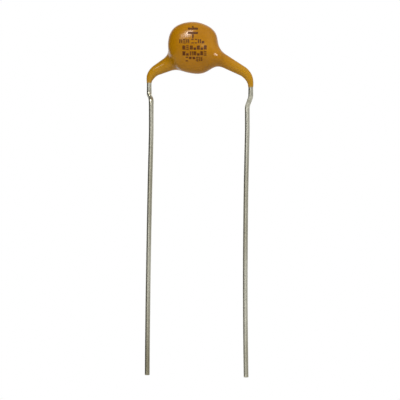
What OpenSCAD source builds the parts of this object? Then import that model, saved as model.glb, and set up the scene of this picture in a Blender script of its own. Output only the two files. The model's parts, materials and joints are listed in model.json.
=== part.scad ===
// Ceramic disc capacitor with two crimped wire leads, in millimetres.
// +Z is up, the leads run down and the marked face looks towards -Y.
// The origin is where the board's top lies, midway between the two leads.
// A fired ceramic disc carries a silver electrode on each face. The right lead is soldered to
// the front electrode and the left lead to the rear one. The whole disc is then dipped in epoxy,
// which runs down both leads and thins out to nothing beyond their shoulders.

/* [Ceramic disc] */
// Diameter of the ceramic disc
ceramic_d = 4.8; // [4.2:0.1:7]
// Thickness of the ceramic disc
ceramic_t = 1.9; // [1.2:0.1:2.6]
// Bare ceramic left around each electrode
bare_margin = 0.25; // [0.1:0.05:0.5]
// Thickness of each electrode
electrode_t = 0.04; // [0.02:0.01:0.1]
// How far the disc's middle lies from the middle of the leads
disc_x = -0.77; // [-1.5:0.01:1.5]
// How far the disc's middle lies above the crossing of the two wires
disc_lift = 0.12; // [-0.3:0.01:0.3]

/* [Solder] */
// Solder left between the wire and the electrode
solder_film = 0.03; // [0.02:0.01:0.1]
// Solder over the top of the wire
solder_cap = 0.12; // [0.08:0.01:0.25]
// Half the width of the solder's foot on the electrode
solder_foot = 0.85; // [0.6:0.05:1]
// Electrode left bare beyond the solder, along the wire
solder_inset = 0.05; // [0.02:0.01:0.2]
// Length of wire that lies on the electrode
landing = 1.6; // [1.3:0.05:1.9]

/* [Both leads] */
// Diameter of the tinned wire
wire_d = 0.64; // [0.5:0.01:0.8]
// Distance between the two leads at the board
pitch = 12.5; // [11:0.1:15]
// Length of straight wire below each kink
board_straight = 2.5; // [1:0.1:6]
// Radius of the slight bend where each lead starts to lean
lean_r = 40; // [20:1:80]
// Bevel left by the cutter at each tip
tip_bevel = 0.06; // [0.02:0.01:0.15]

/* [Left lead] */
// Length of the left lead below the board's top
left_length = 34.7; // [20:0.1:45]
// Slope of the left wire from its shoulder up to the disc, in degrees
left_slope = 27.5; // [20:0.5:36]
// Straight wire between the left kink and its shoulder
left_riser = 1.25; // [0.8:0.01:3]
// Radius of the left shoulder's bend, on the wire's centre line
left_shoulder_r = 1.9; // [1.3:0.1:2.2]
// Height of the left kink's foot above the board's top
left_kink_foot = 0.85; // [0:0.05:2]
// How steeply the left kink crosses, in degrees from upright
left_kink_angle = 62; // [40:1:75]
// Radius of each bend in the left kink
left_kink_r = 0.5; // [0.4:0.05:0.6]
// How far the left kink steps sideways
left_kink_shift = 0.29; // [0.1:0.01:0.8]
// Lean of the left lead away from the other one, in degrees
left_lean = 1.5; // [0.5:0.1:3]
// How far the left lead bows back, in degrees
left_bow = 1.1; // [0.5:0.1:3]

/* [Right lead] */
// Length of the right lead below the board's top
right_length = 35; // [20:0.1:45]
// Slope of the right wire from its shoulder up to the disc, in degrees
right_slope = 28.7; // [20:0.1:36]
// Straight wire between the right kink and its shoulder
right_riser = 1.19; // [0.8:0.01:3]
// Radius of the right shoulder's bend, on the wire's centre line
right_shoulder_r = 2.2; // [1.3:0.1:2.6]
// Height of the right kink's foot above the board's top
right_kink_foot = 0; // [0:0.05:2]
// How steeply the right kink crosses, in degrees from upright
right_kink_angle = 50; // [40:1:75]
// Radius of each bend in the right kink
right_kink_r = 0.6; // [0.4:0.05:0.7]
// How far the right kink steps sideways
right_kink_shift = 0.42; // [0.1:0.01:0.8]
// Lean of the right lead towards the other one, in degrees
right_lean = 1.45; // [0.5:0.05:3]
// How far the right lead bows back, in degrees
right_bow = 2.4; // [0.5:0.1:4]

/* [Coating] */
// Coating around the ceramic's rim
rim_coat = 0.82; // [0.6:0.01:1.5]
// Coating over the wire at the disc's middle
face_coat = 0.64; // [0.4:0.01:1.2]
// Fullness of the domed faces, as an exponent that makes an ellipse at 2
dome_exponent = 2.5; // [2.2:0.1:3.5]
// Extra coating gathered at the rim's upper right
upper_right_gather = 0.12; // [0:0.01:0.5]
// Extra coating gathered at the rim's upper left
upper_left_gather = 0.28; // [0:0.01:0.5]
// Extra coating gathered at the rim's lower left
lower_left_gather = 0.25; // [0:0.01:0.5]
// Extra coating gathered at the rim's lower right
lower_right_gather = 0.48; // [0:0.01:0.6]
// Coating on the wire at its feathered end
edge_coat = 0.025; // [0.015:0.005:0.06]
// Coating on the left wire where the feathered end is over
left_coat = 0.11; // [0.06:0.01:0.3]
// Coating on the right wire where the feathered end is over
right_coat = 0.16; // [0.06:0.01:0.3]
// Angle at which the left arm widens towards the disc, between its side and its wire
left_taper_angle = 7.4; // [1:0.1:9]
// Angle at which the right arm widens towards the disc, between its side and its wire
right_taper_angle = 3.8; // [1:0.1:5]
// Length over which the left arm feathers out
left_feather = 0.55; // [0.3:0.05:1.5]
// Length over which the right arm feathers out
right_feather = 1.0; // [0.3:0.05:1.5]
// How far the coating runs down the left wire past its shoulder
left_run = 0.05; // [0.02:0.01:0.6]
// How far the coating runs down the right wire past its shoulder
right_run = 0.24; // [0.02:0.01:0.6]
// Width of the fillet between the disc and the left arm
left_blend = 1.1; // [0.3:0.1:1.6]
// Width of the fillet between the disc and the right arm
right_blend = 1.2; // [0.3:0.1:1.6]

/* [Hidden] */

LEFT = -1;
RIGHT = 1;

// Where the dipped coating gathered around the disc: angle, extra radius and spread in degrees
gathers = [
    [35, upper_right_gather, 22],
    [140, upper_left_gather, 28],
    [238, lower_left_gather, 24],
    [295, lower_right_gather, 32],
];

// Counts of the coating's sections and of the points around each
run_sections = 2;
bend_sections = 8;
slope_sections = 3;
disc_sections = 30;
// How much closer the sections stand where the disc's rim falls away, from 0 to 1
crowding_ratio = 0.5;
ring_points = 44;
// How near the skin's points lie to the surface, and the most tries that finding one takes
closeness = 0.0001;
search_tries = 30;
// Room between the disc's rim and the section where the spine starts to turn
rim_room = 0.3;
// Room beyond twice an arm's radius in which its skin is looked for
search_room = 0.3;
// How much thinner a bend is than the straight wire, at its radius, and how far it is let in
bend_thinning = 0.005;
bend_let_in = 0.05;
// Facets on round shapes
wire_facets = 32;
bend_facets = 12;
disc_facets = 96;
// Steps in the hollow flank of a solder mound
mound_steps = 5;

electrode_d = ceramic_d - 2 * bare_margin;
wire_r = wire_d / 2;
electrode_y = ceramic_t / 2 + electrode_t;
wire_y = electrode_y + solder_film + wire_r;
body_r = ceramic_d / 2 + rim_coat;
body_h = wire_y + wire_r + face_coat;
// How far short of the disc's middle each wire ends
end_gap = electrode_d / 2 - landing;

// One side's own value
function of(side, left, right) = side == LEFT ? left : right;
function square_of(x) = x * x;
function reversed(list) = [for (i = [len(list) - 1 : -1 : 0]) list[i]];
function total(list) = list * [for (item = list) 1];

// The route of each wire. The left wire lies behind the disc and the right one in front.
function side_y(side) = -side * wire_y;
function slope(side) = of(side, left_slope, right_slope);
function kink_foot(side) = of(side, left_kink_foot, right_kink_foot);
function kink_angle(side) = of(side, left_kink_angle, right_kink_angle);
function kink_r(side) = of(side, left_kink_r, right_kink_r);
function kink_shift(side) = of(side, left_kink_shift, right_kink_shift);
function riser(side) = of(side, left_riser, right_riser);
function shoulder_r(side) = of(side, left_shoulder_r, right_shoulder_r);
function lead_length(side) = of(side, left_length, right_length);

// Each kink steps outwards and from the board's line to its own face of the disc
function kink_step(side) = [side * kink_shift(side), side_y(side)];
function kink_heading(side) = atan2(kink_step(side).y, kink_step(side).x);
function kink_straight(side) =
    (norm(kink_step(side)) - 2 * kink_r(side) * (1 - cos(kink_angle(side)))) / sin(kink_angle(side));
function kink_height(side) =
    2 * kink_r(side) * sin(kink_angle(side)) + kink_straight(side) * cos(kink_angle(side));

// Points of the shoulder in the plane of its own wire, measured outwards and up.
// Each pair holds the left side's value and the right side's.
SIDES = [LEFT, RIGHT];
shoulder_turns = [for (side = SIDES) 90 - slope(side)];
shoulder_lows = [
    for (side = SIDES)
        [pitch / 2 + kink_shift(side), kink_foot(side) + kink_height(side) + riser(side)]
];
slope_headings = [for (side = SIDES) [-cos(slope(side)), sin(slope(side))]];
function shoulder_turn(side) = of(side, shoulder_turns[0], shoulder_turns[1]);
function shoulder_low(side) = of(side, shoulder_lows[0], shoulder_lows[1]);
function shoulder_centre(side) = shoulder_low(side) - [shoulder_r(side), 0];
function on_shoulder(side, angle) =
    shoulder_centre(side) + shoulder_r(side) * [cos(angle), sin(angle)];
slope_starts = [for (side = SIDES) on_shoulder(side, shoulder_turn(side))];
function slope_start(side) = of(side, slope_starts[0], slope_starts[1]);
function slope_heading(side) = of(side, slope_headings[0], slope_headings[1]);
function slope_height(side, x) =
    slope_start(side).y + (slope_start(side).x - side * x) * tan(slope(side));

// The disc's middle lies between the heights at which the two wires cross it
disc_z = (slope_height(LEFT, disc_x) + slope_height(RIGHT, disc_x)) / 2 + disc_lift;
function slope_to_disc(side) =
    ([side * disc_x, disc_z] - slope_start(side)) * slope_heading(side);
slope_lengths = [for (side = SIDES) slope_to_disc(side) - end_gap];
function slope_length(side) = of(side, slope_lengths[0], slope_lengths[1]);
function on_slope(side, along) = slope_start(side) + along * slope_heading(side);

// The coated arms: radius at a distance from the coating's end
function coat_run(side) = of(side, left_run, right_run);
function arc_length(radius, angle) = radius * angle * PI / 180;
function arm_radius(side, along) =
    let (
        feather = of(side, left_feather, right_feather),
        grown = of(side, left_coat, right_coat) - edge_coat
            + tan(of(side, left_taper_angle, right_taper_angle)) * max(along, 0)
    )
    wire_r + edge_coat + grown * (1 - exp(-square_of(max(along, 0) / feather)));

// Signed distance from a point to an arm's surface, taken from the nearest part of its wire
function arm_distance(side, p) =
    let (
        q = [side * p.x, p.z],
        low = shoulder_low(side),
        bend = arc_length(shoulder_r(side), shoulder_turn(side)),
        drop = low.y - q.y,
        from_run = norm([q.x - low.x, min(drop, 0)]),
        along_slope = max(0, min(slope_length(side), (q - slope_start(side)) * slope_heading(side))),
        from_slope = norm(q - on_slope(side, along_slope)),
        spoke = q - shoulder_centre(side),
        angle = atan2(spoke.y, spoke.x),
        from_bend = angle >= 0 && angle <= shoulder_turn(side)
            ? abs(norm(spoke) - shoulder_r(side)) : from_run + from_slope,
        nearest = min(from_run, from_slope, from_bend),
        along = coat_run(side) + (
            nearest == from_bend ? arc_length(shoulder_r(side), angle)
            : nearest == from_run ? -max(drop, 0)
            : bend + along_slope)
    )
    norm([nearest, p.y - side_y(side)]) - arm_radius(side, along);

// The coated disc: its outline swells where the coating gathered, and its faces are domed
function turned(angle) = angle - 360 * round(angle / 360);
function outline_r(angle) =
    body_r + total([for (g = gathers) g[1] * exp(-square_of(turned(angle - g[0]) / g[2]))]);
function disc_distance(p) =
    let (
        x = p.x - disc_x,
        z = p.z - disc_z,
        fill = pow(norm([x, z]) / outline_r(atan2(z, x)), dome_exponent)
            + pow(abs(p.y) / body_h, dome_exponent)
    )
    norm([x, p.y, z]) * (1 - pow(fill, -1 / dome_exponent));

// The wet coating rounds off the corners between the disc and its arms
function blended(a, b, width) =
    min(a, b) - square_of(max(width - abs(a - b), 0)) / (4 * width);
function skin_distance(p) =
    blended(
        blended(disc_distance(p), arm_distance(LEFT, p), left_blend),
        arm_distance(RIGHT, p), right_blend);

// The skin is lofted through sections that stand across a spine. The spine follows the left
// wire up to the disc, crosses the disc in one curve and follows the right wire down.
// Each section is its middle, its in-plane direction away from the spine's inside, and its reach.
function arm_section(side, place, angle, along) =
    [
        [side * place.x, side_y(side), place.y],
        [side * cos(angle), 0, sin(angle)],
        2 * arm_radius(side, along) + search_room,
    ];
function gate_along(side) = slope_to_disc(side) - body_r - rim_room;
function arm_sections(side) =
    let (
        run = coat_run(side),
        turn = shoulder_turn(side),
        bend = arc_length(shoulder_r(side), turn)
    )
    [
        for (i = [0 : run_sections - 1])
            let (along = run * i / run_sections)
            arm_section(side, shoulder_low(side) + [0, along - run], 0, along),
        for (i = [0 : bend_sections - 1])
            let (angle = turn * i / bend_sections)
            arm_section(
                side, on_shoulder(side, angle), angle, run + arc_length(shoulder_r(side), angle)
            ),
        for (i = [0 : slope_sections - 1])
            let (along = gate_along(side) * i / slope_sections)
            arm_section(side, on_slope(side, along), turn, run + bend + along),
    ];
function gate(side) = let (p = on_slope(side, gate_along(side))) [side * p.x, p.y];
function gate_heading(side) = [side * slope_heading(side).x, slope_heading(side).y];
function disc_spine() =
    let (
        a = gate(LEFT),
        d = gate(RIGHT),
        pull = norm(d - a) / 3,
        b = a + pull * gate_heading(LEFT),
        c = d + pull * gate_heading(RIGHT)
    )
    [
        for (i = [0 : disc_sections])
            let (
                even = i / disc_sections,
                u = (1 - crowding_ratio) * even + crowding_ratio * (1 - cos(180 * even)) / 2,
                v = 1 - u,
                place = v * v * v * a + 3 * u * v * v * b + 3 * u * u * v * c + u * u * u * d,
                ahead = v * v * (b - a) + 2 * u * v * (c - b) + u * u * (d - c),
                across = wire_y * (v * v * (1 + 2 * u) - u * u * (3 - 2 * u))
            )
            [
                [place.x, across, place.y],
                [-ahead.y, 0, ahead.x] / norm(ahead),
                2 * body_r,
            ]
    ];
spine = concat(arm_sections(LEFT), disc_spine(), reversed(arm_sections(RIGHT)));

// How far along a ray from a section's middle the skin lies: a search by false position between
// a near and a far end, with the distances there, where an end that stays put counts for half
function ray_length(from, ray, near, far, at_near, at_far, tries) =
    let (
        reach = near - at_near * (far - near) / (at_far - at_near),
        here = skin_distance(from + reach * ray)
    )
    abs(here) < closeness || tries == 0 ? reach
    : here < 0 ? ray_length(from, ray, reach, far, here, at_far / 2, tries - 1)
    : ray_length(from, ray, near, reach, at_near / 2, here, tries - 1);
function surface_point(from, ray, far) =
    from + ray * ray_length(
        from, ray, 0, far, skin_distance(from), skin_distance(from + far * ray), search_tries);

// Each four-cornered patch is split along the diagonal whose middle lies nearer to the skin
function lies_nearer(two_ends, other_ends) =
    abs(skin_distance(two_ends / 2)) <= abs(skin_distance(other_ends / 2));

module skin() {
    points = [
        for (section = spine)
            for (i = [0 : ring_points - 1])
                let (
                    angle = 360 * i / ring_points,
                    ray = cos(angle) * section[1] + sin(angle) * [0, 1, 0]
                )
                surface_point(section[0], ray, section[2])
    ];
    last = len(spine) - 1;
    sides = [
        for (s = [0 : last - 1])
            for (i = [0 : ring_points - 1])
                let (
                    a = s * ring_points + i,
                    b = s * ring_points + (i + 1) % ring_points,
                    c = b + ring_points,
                    d = a + ring_points
                )
                each lies_nearer(points[a] + points[c], points[b] + points[d])
                    ? [[a, b, c], [a, c, d]] : [[a, b, d], [b, c, d]]
    ];
    left_end = [for (i = [ring_points - 1 : -1 : 0]) i];
    right_end = [for (i = [0 : ring_points - 1]) last * ring_points + i];
    polyhedron(points, concat(sides, [left_end, right_end]));
}

// A round plate of the disc, between two depths
module plate(diameter, from_y, thickness) {
    translate([disc_x, from_y, disc_z])
        rotate([-90, 0, 0])
            cylinder(h = thickness, d = diameter, $fn = disc_facets);
}

// One bend of wire that starts upwards and turns by an angle towards a heading. Bending draws
// the wire a little thinner, and each end of the bend is let into the wire that it joins.
module wire_bend(radius, turn, heading) {
    let_in = bend_let_in / radius * 180 / PI;
    rotate([0, 0, heading])
        translate([radius, 0, 0])
            rotate([-90, 0, 0])
                rotate_extrude(
                    start = 180 - let_in, angle = turn + 2 * let_in, $fn = bend_facets * 360 / turn
                )
                    translate([radius, 0])
                        circle(r = wire_r - bend_thinning, $fn = wire_facets);
}

// What follows a bend is drawn in the frame at the bend's end
module after_bend(radius, turn, heading) {
    rotate([0, 0, heading])
        translate([radius * (1 - cos(turn)), 0, radius * sin(turn)])
            rotate([0, turn, 0])
                rotate([0, 0, -heading])
                    children();
}

module wire_straight(length) {
    cylinder(h = length, r = wire_r, $fn = wire_facets);
}

// From the kink's foot up over the shoulder and on to the disc
module upper_wire(side) {
    angle = kink_angle(side);
    heading = kink_heading(side);
    inwards = side == LEFT ? 0 : 180;
    wire_bend(kink_r(side), angle, heading);
    after_bend(kink_r(side), angle, heading) {
        wire_straight(kink_straight(side));
        translate([0, 0, kink_straight(side)]) {
            wire_bend(kink_r(side), angle, heading + 180);
            after_bend(kink_r(side), angle, heading + 180) {
                wire_straight(riser(side));
                translate([0, 0, riser(side)]) {
                    wire_bend(shoulder_r(side), shoulder_turn(side), inwards);
                    after_bend(shoulder_r(side), shoulder_turn(side), inwards)
                        wire_straight(slope_length(side));
                }
            }
        }
    }
}

// From the straight at the board down to the tip, with a slight lean and a long bow.
// The bow is full wire, and the cutter's bevel is let into its end.
module lower_wire(side) {
    lean = of(side, left_lean, right_lean);
    bow = of(side, left_bow, right_bow);
    bow_length = lead_length(side) - board_straight - arc_length(lean_r, lean) - tip_bevel;
    bow_r = bow_length / arc_length(1, bow);
    wire_bend(lean_r, lean, 180);
    after_bend(lean_r, lean, 180) {
        translate([bow_r, 0, 0])
            rotate([-90, 0, 0])
                rotate_extrude(start = 180, angle = bow, $fn = bend_facets * 360 / bow)
                    translate([bow_r, 0])
                        circle(r = wire_r, $fn = wire_facets);
        after_bend(bow_r, bow, 0)
            translate([0, 0, -bend_let_in])
                cylinder(
                    h = tip_bevel + bend_let_in, r1 = wire_r - bend_thinning,
                    r2 = wire_r - tip_bevel, $fn = wire_facets
                );
    }
}

module lead(side) {
    translate([side * pitch / 2, 0, 0]) {
        translate([0, 0, -board_straight])
            wire_straight(board_straight + kink_foot(side));
        translate([0, 0, kink_foot(side)])
            upper_wire(side);
        translate([0, 0, -board_straight])
            rotate([180, 0, 0])
                lower_wire(side);
    }
}

// A mound of solder on one electrode. It is hollow in its flank, round at the wire's end and
// long in the wire's direction, and it stops short of the electrode's edge.
module solder_mound(side) {
    height = solder_film + wire_d + solder_cap;
    flank = [
        for (i = [0 : mound_steps])
            let (angle = 90 * i / mound_steps)
            [wire_r + (solder_foot - wire_r) * (1 - sin(angle)), height * (1 - cos(angle))]
    ];
    half = concat([[0, 0]], flank, [[0, height]]);
    whole = concat([for (p = reversed(flank)) [-p.x, p.y]], flank);
    length = landing - solder_foot - solder_inset;
    end = on_slope(side, slope_length(side));
    translate([side * end.x, -side * electrode_y, end.y])
        rotate([side * 90, 0, 0])
            rotate([0, 0, side == LEFT ? -slope(side) : 180 - slope(side)]) {
                rotate([0, 0, -90])
                    rotate_extrude(angle = 180, $fn = disc_facets)
                        polygon(half);
                translate([-length, 0, 0]) {
                    rotate([90, 0, 90])
                        linear_extrude(length)
                            polygon(whole);
                    rotate([0, 0, 90])
                        rotate_extrude(angle = 180, $fn = disc_facets)
                            polygon(half);
                }
            }
}

module epoxy_coating() {
    color("#c07a16")
        difference() {
            skin();
            ceramic_disc();
            front_electrode();
            rear_electrode();
            solder_mound(LEFT);
            solder_mound(RIGHT);
            lead(LEFT);
            lead(RIGHT);
        }
}
module ceramic_disc() {
    color("#c9b48f") plate(ceramic_d, -ceramic_t / 2, ceramic_t);
}
module front_electrode() {
    color("#c8cacc") plate(electrode_d, -electrode_y, electrode_t);
}
module rear_electrode() {
    color("#c8cacc") plate(electrode_d, ceramic_t / 2, electrode_t);
}
module solder_round_wire(side) {
    difference() {
        solder_mound(side);
        lead(side);
    }
}
module front_solder() {
    color("#9fa1a3") solder_round_wire(RIGHT);
}
module rear_solder() {
    color("#9fa1a3") solder_round_wire(LEFT);
}
module left_lead() {
    color("#a9a593") lead(LEFT);
}
module right_lead() {
    color("#a9a593") lead(RIGHT);
}

epoxy_coating();
ceramic_disc();
front_electrode();
rear_electrode();
front_solder();
rear_solder();
left_lead();
right_lead();
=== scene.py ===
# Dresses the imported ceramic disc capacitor: the dipped coating, the two tinned leads, the print on
# the marked face, the pieces inside the coating, and a plain pale stage.
# The leads' routes and the coating's form repeat the part's own rule, worked in millimetres.
import json
import math

import bpy
from bpy.props import FloatProperty, FloatVectorProperty, IntProperty, PointerProperty
from mathutils import Matrix, Vector

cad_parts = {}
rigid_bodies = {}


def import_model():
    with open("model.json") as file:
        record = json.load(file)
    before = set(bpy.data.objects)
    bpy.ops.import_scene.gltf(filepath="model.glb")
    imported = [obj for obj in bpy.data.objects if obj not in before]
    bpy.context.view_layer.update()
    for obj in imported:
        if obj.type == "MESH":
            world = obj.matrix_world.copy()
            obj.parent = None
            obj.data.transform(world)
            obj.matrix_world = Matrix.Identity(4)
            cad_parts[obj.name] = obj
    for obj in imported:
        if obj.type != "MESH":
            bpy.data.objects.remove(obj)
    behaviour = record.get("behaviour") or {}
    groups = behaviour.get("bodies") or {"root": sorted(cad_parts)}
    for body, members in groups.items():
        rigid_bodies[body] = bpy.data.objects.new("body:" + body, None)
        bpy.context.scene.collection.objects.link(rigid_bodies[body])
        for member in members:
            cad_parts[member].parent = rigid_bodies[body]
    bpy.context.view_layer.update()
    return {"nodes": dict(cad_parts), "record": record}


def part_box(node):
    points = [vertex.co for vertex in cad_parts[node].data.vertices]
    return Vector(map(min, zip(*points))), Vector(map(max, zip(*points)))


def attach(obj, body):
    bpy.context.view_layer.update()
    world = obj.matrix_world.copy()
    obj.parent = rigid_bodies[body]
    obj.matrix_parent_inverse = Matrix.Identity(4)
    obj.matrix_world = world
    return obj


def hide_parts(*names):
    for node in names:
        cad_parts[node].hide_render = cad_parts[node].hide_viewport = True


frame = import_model()

bl_info = {
    "name": "Disc Capacitor",
    "version": (1, 0, 0),
    "blender": (4, 5, 0),
    "location": "View3D > Sidebar > Capacitor",
    "description": "Dresses a dipped ceramic disc capacitor and sets it on a pale stage",
    "category": "Object",
}

MM = 0.001
LEFT, RIGHT = -1, 1
NAMES = {LEFT: "Left", RIGHT: "Right"}

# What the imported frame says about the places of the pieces, in millimetres
PITCH = frame["record"]["mounts"][0]["dims"]["spacing_x_mm"]
WIRE_R = frame["record"]["mounts"][0]["dims"]["stud_r_mm"]
CERAMIC = [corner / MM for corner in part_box("ceramic_disc")]
DISC_X = (CERAMIC[0].x + CERAMIC[1].x) / 2
DISC_Z = (CERAMIC[0].z + CERAMIC[1].z) / 2
WIRE_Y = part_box("left_lead")[1].y / MM - WIRE_R

# Each lead's own shape, in millimetres and degrees: its slope down from the disc, the straight riser
# above its kink, the radius of its shoulder, the height of the kink's foot above the board, the
# kink's angle, bends and sideways shift, and the lean, bow and length of what hangs below
LEADS = {
    LEFT: {
        "slope": 27.5, "riser": 1.25, "shoulder": 1.9, "foot": 0.85, "angle": 62, "bend": 0.5,
        "shift": 0.29, "lean": 1.5, "bow": 1.1, "length": 34.7,
    },
    RIGHT: {
        "slope": 28.7, "riser": 1.19, "shoulder": 2.2, "foot": 0.0, "angle": 50, "bend": 0.6,
        "shift": 0.42, "lean": 1.45, "bow": 2.4, "length": 35.0,
    },
}
# How far each wire ends short of the disc's middle, and how far it stays straight below the board
END_GAP, STRAIGHT = 0.55, 2.5
LEAN_R = 40
TIP_BEVEL = 0.06
# How much of what the dies press flat swells out sideways
SIDE_SWELL = 0.4

# Each arm of coating, in millimetres and degrees: how thick it lies on the wire, how fast it widens,
# over what length it thickens, how far it runs down past the shoulder, how wide its rounded corner
# with the disc is, how far short of the wire's end it stops, and how far up the slope its knuckle is
ARMS = {
    LEFT: {
        "coat": 0.11, "widening": 8.2, "feather": 0.55, "run": 0.05, "blend": 1.15, "short": 1.2,
        "knuckle": 3.5,
    },
    RIGHT: {
        "coat": 0.16, "widening": 4.2, "feather": 1.0, "run": 0.24, "blend": 1.4, "short": 1.7,
        "knuckle": 3.5,
    },
}
EDGE_COAT, EDGE_RISE = 0.036, 0.05
# Past the feathered edge the skin sinks this deep into the wire over this length, and then ends
SINK, SINK_RUN, HIDDEN_RUN = 0.05, 0.06, 0.35
# The low knuckle on each face where the coating passes over the wire on to the disc
KNUCKLE_R, KNUCKLE_DEPTH, KNUCKLE_BLEND = 0.7, 1.92, 0.45
# Where the coating gathered round the disc: angle, extra radius and spread
GATHERS = (
    (35, 0.19, 22), (140, 0.3, 28), (185, 0.06, 25), (238, 0.26, 24), (295, 0.48, 32), (322, 0.26, 15),
)
# The coated disc's own sizes, which two of the trees take
DISC_SIZES = {"Body Radius": 3.22, "Half Depth": 2.42, "Dome": 2.5}
DISC_SIZES |= {f"Gather {i + 1}": extra for i, (_, extra, _) in enumerate(GATHERS)}

# Middle height of each row of print, and where each of its groups starts and how many it holds
ROWS = (
    (8.62, ((-2.38, 3), (-0.86, 4))),
    (7.79, ((-1.98, 2), (-1.02, 5))),
    (7.05, ((-1.98, 2), (-1.02, 5))),
    (6.32, ((-1.6, 5),)),
)
SIGN_PLACE = (-0.82, 0, 9.98)


# Sums in node trees, written as they are read


def feed(tree, value, socket):
    """Gives a socket a term, another socket or a plain value."""
    if isinstance(value, Term):
        value = value.socket
    if isinstance(value, bpy.types.NodeSocket):
        tree.links.new(value, socket)
    else:
        socket.default_value = value


def summed(operation):
    """A method that works this sum on a term and on whatever else it is given."""

    def work(term, *others):
        node = term.tree.nodes.new("ShaderNodeMath")
        node.operation = operation
        for place, value in enumerate((term, *others)):
            feed(term.tree, value, node.inputs[place])
        return Term(term.tree, node.outputs[0])

    return work


class Term:
    """A number on its way through a node tree."""

    def __init__(self, tree, socket):
        self.tree, self.socket = tree, socket

    __add__ = __radd__ = summed("ADD")
    __sub__ = summed("SUBTRACT")
    __mul__ = __rmul__ = summed("MULTIPLY")
    __truediv__ = summed("DIVIDE")
    power, exp, root = summed("POWER"), summed("EXPONENT"), summed("SQRT")
    size, nearest_whole = summed("ABSOLUTE"), summed("ROUND")
    least, most, below = summed("MINIMUM"), summed("MAXIMUM"), summed("LESS_THAN")
    sine, cosine, tangent = summed("SINE"), summed("COSINE"), summed("TANGENT")
    # The angle whose sine and cosine go as this term and the other
    angle_over = summed("ARCTAN2")

    def __rsub__(self, other):
        return self * -1 + other

    def __rtruediv__(self, other):
        return self.power(-1) * other

    def __neg__(self):
        return self * -1


def longest(*terms):
    """Length of the line that has these terms as its sides."""
    total = terms[0] * terms[0]
    for term in terms[1:]:
        total = total + term * term
    return total.root()


def choose(test, yes, no):
    """yes where the test is 1 and no where it is 0."""
    return no + (yes - no) * test


# Nodes and trees


def fed(tree, node, **inputs):
    """Feeds a node's inputs by name, and gives the node back."""
    for title, value in inputs.items():
        feed(tree, value, node.inputs[title.replace("_", " ")])
    return node


def add(tree, kind, settings=None, **inputs):
    """A node of that kind, with its settings and with its inputs fed by name."""
    node = tree.nodes.new(kind)
    for key, value in (settings or {}).items():
        setattr(node, key, value)
    return fed(tree, node, **inputs)


def geo(tree, kind, settings=None, **inputs):
    """The first output of a geometry node of that kind."""
    return add(tree, "GeometryNode" + kind, settings, **inputs).outputs[0]


def group(tree, inner, **inputs):
    """Another tree as one node, with its inputs fed by name."""
    return add(tree, "GeometryNodeGroup", {"node_tree": inner}, **inputs)


def split(tree, vector):
    return [Term(tree, output) for output in add(tree, "ShaderNodeSeparateXYZ", Vector=vector).outputs]


def join(tree, x, y, z):
    return add(tree, "ShaderNodeCombineXYZ", X=x, Y=y, Z=z).outputs[0]


def vector_sum(tree, operation, a, b):
    node = add(tree, "ShaderNodeVectorMath", {"operation": operation})
    feed(tree, a, node.inputs[0])
    feed(tree, b, node.inputs["Scale" if operation == "SCALE" else 1])
    return node.outputs["Value" if operation == "DOT_PRODUCT" else "Vector"]


def noise(tree, point, scale, detail=3.0, rough=0.5):
    node = add(tree, "ShaderNodeTexNoise", Vector=point, Scale=scale, Detail=detail, Roughness=rough)
    return Term(tree, node.outputs[0])


def new_tree(name, inputs, outputs):
    """A geometry tree with named inputs, each with its default or its kind, and named outputs."""
    tree = bpy.data.node_groups.new(name, "GeometryNodeTree")
    for title, told in inputs.items():
        kind = told if isinstance(told, str) else {float: "Float", int: "Int"}[type(told)]
        socket = tree.interface.new_socket(title, in_out="INPUT", socket_type="NodeSocket" + kind)
        if kind != told:
            socket.default_value = told
    for title, kind in outputs.items():
        tree.interface.new_socket(title, in_out="OUTPUT", socket_type="NodeSocket" + kind)
    given = tree.nodes.new("NodeGroupInput").outputs
    result = tree.nodes.new("NodeGroupOutput").inputs
    return tree, {socket.name: Term(tree, socket) for socket in given if socket.name}, result


def end_tree(tree, shape, given, result):
    """Ends a tree with its shape brought from millimetres to its real size, smooth and finished."""
    scale = given["Scale"]
    sized = geo(tree, "Transform", Geometry=shape, Scale=join(tree, scale, scale, scale))
    smooth = geo(tree, "SetShadeSmooth", Geometry=sized)
    real = geo(tree, "RealizeInstances", Geometry=smooth)
    done = geo(tree, "SetMaterial", Geometry=real, Material=given["Material"])
    feed(tree, done, result["Geometry"])
    return tree


def run_tree(piece, tree, values):
    """Puts a piece's mesh through a tree once, and leaves it a plain mesh."""
    modifier = piece.modifiers.new("Shape", "NODES")
    modifier.node_group = tree
    for item in tree.interface.items_tree:
        if item.in_out == "INPUT" and item.name in values:
            modifier[item.identifier] = values[item.name]
    piece.update_tag()
    bpy.context.view_layer.update()
    seen = piece.evaluated_get(bpy.context.evaluated_depsgraph_get())
    made = bpy.data.meshes.new_from_object(seen)
    rough = piece.data
    piece.modifiers.clear()
    piece.data = made
    made.name = piece.name
    bpy.data.meshes.remove(rough)
    if not made.polygons:
        raise RuntimeError(f"{piece.name} came out empty")
    return piece


def new_piece(name, mesh=None):
    mesh = mesh or bpy.data.meshes.new(name)
    piece = bpy.data.objects.new(name, mesh)
    bpy.context.scene.collection.objects.link(piece)
    return piece


# The coating's rule: a signed distance to the wet skin


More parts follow.
